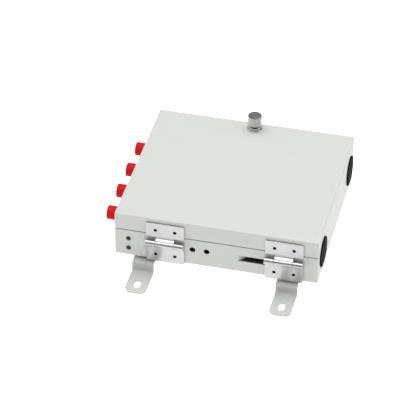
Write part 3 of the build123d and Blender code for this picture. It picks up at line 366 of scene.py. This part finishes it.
def black_rubber(name, shade=0.006):
    rubber = Material(name, (shade,) * 3, Roughness=0.6, Specular_IOR_Level=0.04, IOR=1.1)
    rubber.tint(rubber.noise(240.0), (1.6 * shade,) * 3)
    rubber.gloss(rubber.noise(500.0), 0.5, 0.7)
    rubber.bump(rubber.noise(1300.0), 0.03 * MM)
    return rubber


def clear_plastic():
    clear = Material("cover_clear", (0.93, 0.95, 0.96), Roughness=0.08, IOR=1.49,
                     Transmission_Weight=0.92)
    clear.gloss(clear.noise(300.0), 0.05, 0.14)
    clear.bump(clear.noise(120.0), 0.02 * MM)
    return clear


BRASS = (0.72, 0.55, 0.27)


def brass():
    metal = Material("post_brass", BRASS, Metallic=1.0, Roughness=0.25)
    metal.tint(metal.noise(300.0), tuple(0.82 * part for part in BRASS))
    metal.gloss(metal.noise(800.0), 0.2, 0.34)
    metal.bump(metal.noise(1500.0), 0.008 * MM)
    return metal


NICKEL = (0.66, 0.65, 0.61)
EARTH_PITCH, EARTH_REACH = 0.8 * MM, 4.0 * MM
TRAY_PITCH, TRAY_REACH = 0.5 * MM, 1.0      # wide enough for both studs
PORT_PITCH, PORT_REACH = 0.75 * MM, 4.4 * MM    # the flange outside the thread is smooth
SIDES = ("left", "right")
ENDS = ("front", "rear")
PORTS = range(1, 5)

dress(powder_coat(), "base_tray", "adapter_panel", "lid")
# The feet wear the case's coat with painted shade: 0.9 of its colour. The real feet are most
# likely painted alike with the case.
dress(powder_coat("foot_coat_painted_shade", 0.9), *[f"{end}_{side}_foot" for end in ENDS for side in SIDES])
dress(rolled_steel(), *[f"{side}_hinge_{part}" for side in SIDES
                        for part in ("lid_leaf", "base_leaf", "pin")])
dress(black_oxide("hinge_screw_black", 0.005, 0.1), "hinge_lid_screws", "hinge_base_screws")
dress(black_oxide("panel_screw_black", 0.022, 0.5), "panel_screws")
dress(plated_steel(), "hinge_lid_nuts", "hinge_base_nuts", "panel_nuts", "latch_bracket",
      "latch_nut", "tray_nuts", "front_cable_anchor", "rear_cable_anchor", "earth_washer",
      "earth_nut", "strength_member_screws", "thumbscrew_retainer")
dress(threaded(plated_steel("earth_stud_thread"), "Z", EARTH_PITCH, EARTH_REACH,
               middle("earth_stud")), "earth_stud")
dress(threaded(plated_steel("tray_stud_thread"), "Z", TRAY_PITCH, TRAY_REACH,
               middle("tray_studs")), "tray_studs")
dress(aluminium(), "foot_rivets", "anchor_rivets")
dress(turned_nickel("ferrule_nickel", middle("thumbscrew"), 0.58, 0.18), "thumbscrew_ferrule")
dress(plated_steel("port_nickel", NICKEL), "adapter_washers", "adapter_nuts")
for n in PORTS:
    dress(threaded(plated_steel(f"port_thread_{n}", NICKEL), "X", PORT_PITCH, PORT_REACH,
                   middle(f"fc_adapter_{n}")), f"fc_adapter_{n}")
dress(moulded("sleeve_ceramic", (0.90, 0.90, 0.87), (0.86, 0.86, 0.83), 0.18, 0.002),
      "alignment_sleeves")
dress(moulded("cap_red", (0.60, 0.007, 0.014), (0.54, 0.006, 0.012), 0.6, specular=0.12),
      *[f"{place}_dust_cap_{n}" for place in ("outer", "inner") for n in PORTS])
dress(moulded("tray_plastic", (0.80, 0.80, 0.77), (0.76, 0.76, 0.73), 0.45),
      "splice_tray", "splice_holder")
dress(clear_plastic(), "splice_tray_cover")
dress(brass(), "strength_member_posts")
dress(moulded("clip_plastic", (0.84, 0.84, 0.82), (0.80, 0.80, 0.78), 0.4), "fibre_clips")


# ======================================================================================
# Detailed pieces that stand for plain CAD ones
# ======================================================================================
CREASE = 35.0                               # degrees: sharper edges than this stay sharp


def turned(name, origin, axis, rings, segments, relief=None):
    """Turned piece: rings of (along, radius) in mm about an axis through origin, joined in
    order.  A radius of 0 closes an end.  relief(along, turn) is a cut into a ring's radius."""
    across = Vector(axis).orthogonal().normalized()
    third = Vector(axis).cross(across)
    form = bmesh.new()
    loops = []
    for along, radius in rings:
        foot = origin + along * MM * Vector(axis)
        loop = []
        for step in range(segments if radius else 1):
            turn = step / segments
            length = MM * (radius - (relief(along, turn) if relief else 0.0)) if radius else 0.0
            angle = 2.0 * math.pi * turn
            loop.append(form.verts.new(foot + length * (math.cos(angle) * across
                                                        + math.sin(angle) * third)))
        loops.append(loop)
    for low, high in zip(loops, loops[1:]):
        for step in range(segments):
            after = (step + 1) % segments
            corners = [low[step % len(low)], low[after % len(low)],
                       high[after % len(high)], high[step % len(high)]]
            form.faces.new(dict.fromkeys(corners))
    bmesh.ops.recalc_face_normals(form, faces=form.faces)
    mesh = bpy.data.meshes.new(name)
    form.to_mesh(mesh)
    form.free()
    mesh.shade_smooth()
    mesh.set_sharp_from_angle(angle=math.radians(CREASE))
    piece = bpy.data.objects.new(name, mesh)
    bpy.context.scene.collection.objects.link(piece)
    return piece


def stand_in(piece, node, body, material):
    """The piece shows in place of a CAD node, moves with its body and wears a material."""
    piece.data.materials.append(material.material)
    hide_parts(node)
    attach(piece, body)


def steps(low, high, count):
    """Evenly spaced values from low to high."""
    return [low + (high - low) * i / count for i in range(count + 1)]


# Thumbscrew, in mm above the lid: M4 x 0.7 thread, neck with a groove, knurled head.
SHANK_R, SHANK_END, SHANK_BEVEL = 2.0, -6.7, 0.4
THREAD, THREAD_PITCH, THREAD_DEPTH = (-6.2, -3.2), 0.7, 0.38
RING_GROOVE, RING_GROOVE_R = (-3.0, -2.0), 1.6
THREAD_STEPS, KNURL_STEPS, SCREW_SEGMENTS = 34, 36, 208
KNURL, KNURLS, KNURL_PITCH, KNURL_DEPTH = (6.5, 15.5), 26, 1.6, 0.35
HEAD_R, HEAD_LOW, HEAD_TOP, HEAD_BEVEL = 7.0, 6.0, 15.8, 0.2
HEAD_ROUND, HEAD_ROUND_RISE = 0.4, 0.15     # rounded lower edge, and its middle point
NECK_R, NECK_LOW, NECK_GROOVE, GROOVE_DEPTH = 4.3, 3.9, (4.6, 5.2), 0.5


def groove(phase):
    """1 in the middle of each groove of a repeating pattern, 0 between grooves."""
    return max(0.0, 1.0 - 3.0 * abs(phase % 1.0 - 0.5))


def thumbscrew_relief(along, turn):
    """Depth of the thread, a right-handed V, and of the knurl's crossing grooves."""
    if THREAD[0] < along < THREAD[1]:
        return THREAD_DEPTH * abs(2.0 * ((along / THREAD_PITCH - turn) % 1.0) - 1.0)
    if KNURL[0] < along < KNURL[1]:
        climb = (along - KNURL[0]) / KNURL_PITCH
        return KNURL_DEPTH * max(groove(KNURLS * turn + climb), groove(KNURLS * turn - climb))
    return 0.0


def grooved(span, radius, floor):
    """Rings of a square groove between the two ends of a span."""
    return [(span[0], radius), (span[0], floor), (span[1], floor), (span[1], radius)]


def make_thumbscrew():
    at = middle("thumbscrew")
    at.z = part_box("lid")[1].z
    groove_r = NECK_R - GROOVE_DEPTH
    rings = [(SHANK_END, 0.0), (SHANK_END, SHANK_R - SHANK_BEVEL),
             (SHANK_END + SHANK_BEVEL, SHANK_R)]
    rings += [(along, SHANK_R) for along in steps(*THREAD, THREAD_STEPS)]
    rings += grooved(RING_GROOVE, SHANK_R, RING_GROOVE_R)
    rings += [(NECK_LOW, SHANK_R), (NECK_LOW, NECK_R)]
    rings += grooved(NECK_GROOVE, NECK_R, groove_r)
    rings += [(HEAD_LOW, NECK_R), (HEAD_LOW, HEAD_R - HEAD_ROUND),
              (HEAD_LOW + HEAD_ROUND_RISE, HEAD_R - HEAD_ROUND / 4),
              (HEAD_LOW + HEAD_ROUND, HEAD_R)]
    rings += [(along, HEAD_R) for along in steps(*KNURL, KNURL_STEPS)]
    rings += [(HEAD_TOP - HEAD_BEVEL, HEAD_R), (HEAD_TOP, HEAD_R - HEAD_BEVEL), (HEAD_TOP, 0.0)]
    stand_in(turned("thumbscrew_detail", at, (0.0, 0.0, 1.0), rings, SCREW_SEGMENTS,
                    thumbscrew_relief),
             "thumbscrew", "thumbscrew", turned_nickel("thumbscrew_nickel", at, 0.76))


# Grommet, in mm out of the case's wall: rounded lip and a membrane with three raised rings.
LIP = ((0.7, 15.2), (1.05, 15.1), (1.3, 14.85), (1.39, 14.5), (1.39, 12.0), (1.3, 11.6),
       (1.05, 11.3), (0.7, 11.2))
BACK_LIP = ((-1.5, 10.2), (-3.2, 10.2), (-3.2, 13.6), (-2.6, 14.2), (-1.2, 14.2))
WALL, HOLE_R, MOUTH_R = 1.2, 12.0, 11.2     # case sheet, its hole, and the lip's mouth
MEMBRANE, MEMBRANE_BACK = -0.6, -1.5
RIDGES, RIDGE_RISE, RIDGE_WIDTH, RIDGE_SLOPE = (9.4, 6.8, 4.2), 0.5, 0.9, 0.2
PAINTED_SHEEN_R, PAINTED_SHEEN_SHADE = 12.6 * MM, 0.075       # painted sheen: the membrane and the mouth are painted greyer
GROMMET_SEGMENTS = 96


def make_grommet(name):
    at = middle(name)
    rubber = black_rubber(f"{name}_rubber")
    # painted sheen: the rubber is greyer within this radius of the grommet's axis
    rubber.tint(rubber.within(PAINTED_SHEEN_R, "X", at), (PAINTED_SHEEN_SHADE,) * 3, 0.0, 1.0)
    at.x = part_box("base_tray")[1].x
    rings = [(MEMBRANE_BACK, 0.0), *BACK_LIP, (-WALL, HOLE_R), (0.0, HOLE_R), (0.0, LIP[0][1]),
             *LIP, (MEMBRANE, MOUTH_R)]
    for ridge in RIDGES:
        top = MEMBRANE + RIDGE_RISE
        rings += [(MEMBRANE, ridge), (top, ridge - RIDGE_SLOPE),
                  (top, ridge - RIDGE_WIDTH + RIDGE_SLOPE), (MEMBRANE, ridge - RIDGE_WIDTH)]
    rings.append((MEMBRANE, 0.0))
    stand_in(turned(f"{name}_detail", at, (1.0, 0.0, 0.0), rings, GROMMET_SEGMENTS), name, "case",
             rubber)


make_thumbscrew()
for end in ENDS:
    make_grommet(f"{end}_cable_grommet")
